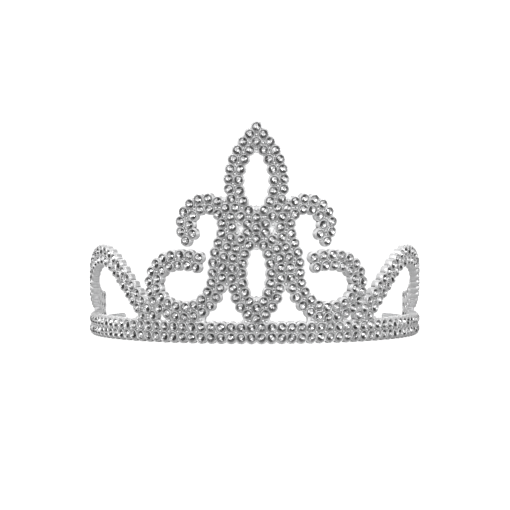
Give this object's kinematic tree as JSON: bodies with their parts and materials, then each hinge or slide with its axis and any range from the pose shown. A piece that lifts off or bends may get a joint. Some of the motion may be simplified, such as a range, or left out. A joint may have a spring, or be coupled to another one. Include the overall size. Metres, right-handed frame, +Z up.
{
  "type": "bridal tiara",
  "caption": "Rigid bridal tiara: curved two-row band of round stone settings with scrolls, end loops and a pointed oval crest, worn on the head with two side combs.",
  "frame": {"origin": "centre of the band's circle, at the band's lowest edge", "axes": "+Z up from the band to the crest, -Y to the front of the tiara, +X to the right seen from the front"},
  "size_m": [0.142, 0.1045, 0.0894],
  "materials": {
    "plated_metal": "bright silver plate on cast settings",
    "crystal": "clear foil-backed faceted stones",
    "clear_plastic": "clear moulded side combs"
  },
  "bodies": {
    "root": {"base_band": "plated_metal", "lower_oval": "plated_metal", "top_marquise": "plated_metal", "right_s_scroll": "plated_metal", "left_s_scroll": "plated_metal", "right_end_loop": "plated_metal", "left_end_loop": "plated_metal", "right_comb": "clear_plastic", "left_comb": "clear_plastic", "base_band_lower_stones": "crystal", "base_band_upper_stones": "crystal", "lower_oval_inner_stones": "crystal", "lower_oval_outer_stones": "crystal", "top_marquise_inner_stones": "crystal", "top_marquise_outer_stones": "crystal", "right_s_scroll_inner_stones": "crystal", "right_s_scroll_outer_stones": "crystal", "left_s_scroll_inner_stones": "crystal", "left_s_scroll_outer_stones": "crystal", "right_end_loop_inner_stones": "crystal", "right_end_loop_outer_stones": "crystal", "left_end_loop_inner_stones": "crystal", "left_end_loop_outer_stones": "crystal"}
  },
  "joints": []
}
